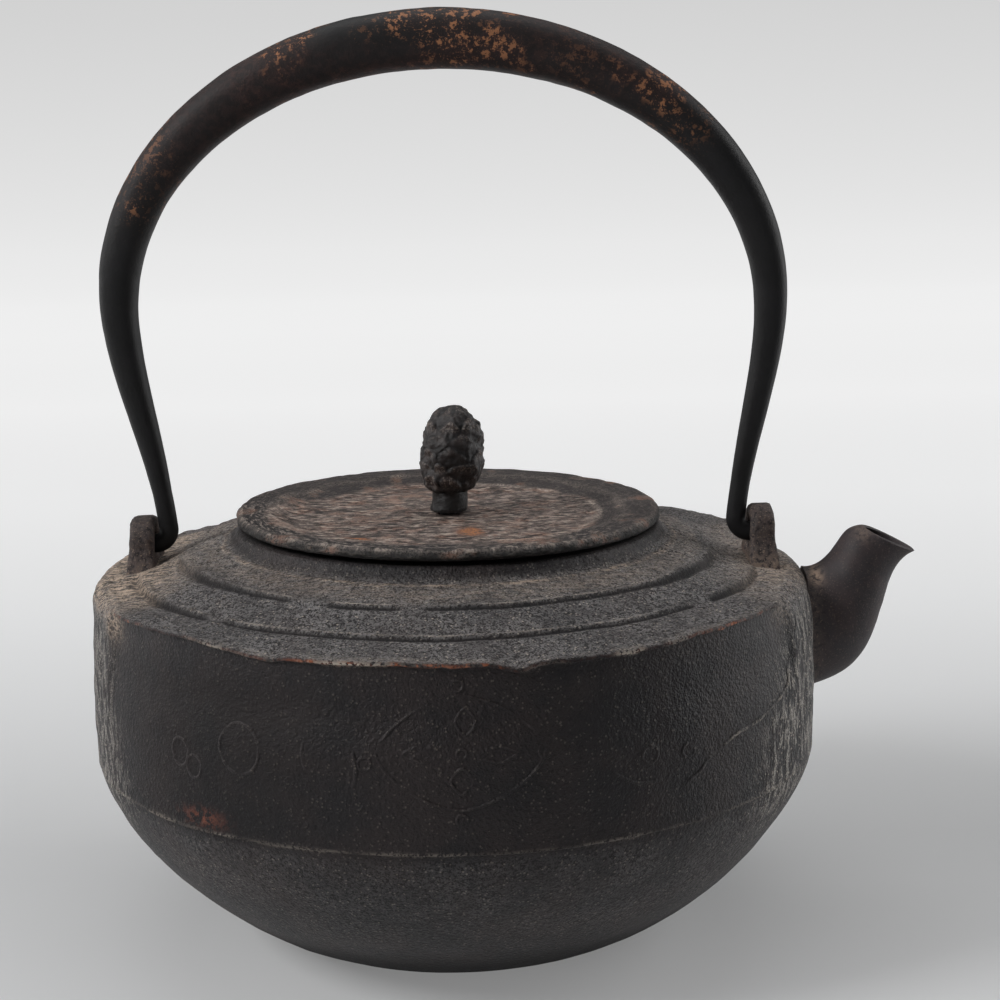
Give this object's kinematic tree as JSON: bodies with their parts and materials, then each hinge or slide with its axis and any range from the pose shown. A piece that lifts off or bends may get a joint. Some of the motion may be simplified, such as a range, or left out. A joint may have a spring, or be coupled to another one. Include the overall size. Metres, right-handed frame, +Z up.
{
  "type": "cast iron kettle",
  "caption": "Round cast iron kettle with a stepped shoulder, short curved spout, drop bow handle and a flanged lid with a pine cone knob.",
  "frame": {"origin": "centre of the flat foot, on the surface that the kettle stands on", "axes": "+Z up, +X from the kettle's axis towards the spout, +Y away from the side that the picture shows"},
  "size_m": [0.2062, 0.18, 0.2266],
  "materials": {
    "rough_iron": "coarse sand-cast skin, dull, dusty on the shoulder, rust specks on the worn hem",
    "worn_iron": "wrinkled rough skin, dull, with orange rust patches",
    "smooth_iron": "smooth casting, dark lacquered, satin",
    "knob_iron": "smooth casting with cut scales, satin",
    "black_iron": "lacquered black, satin, with rust-brown speckle along the top"
  },
  "bodies": {
    "kettle": {"kettle_body": "rough_iron", "spout": "smooth_iron", "lug_spout_side": "smooth_iron", "lug_rear_side": "smooth_iron"},
    "bow": {"handle": "black_iron"},
    "lid": {"lid": "worn_iron", "knob_washer": "smooth_iron"},
    "knob": {"knob": "knob_iron"}
  },
  "joints": [
    {"name": "handle_swing", "type": "hinge", "parent": "kettle", "child": "bow", "pos_m": [0, 0, 0.0976], "axis": [1, 0, 0], "range_deg": [-90, 90]},
    {"name": "lid_lift", "type": "slide", "parent": "kettle", "child": "lid", "axis": [0, 0, 1], "range_m": [0, 0.06]},
    {"name": "knob_turn", "type": "hinge", "parent": "lid", "child": "knob", "pos_m": [0, 0, 0.104], "axis": [0, 0, 1], "continuous": true}
  ]
}
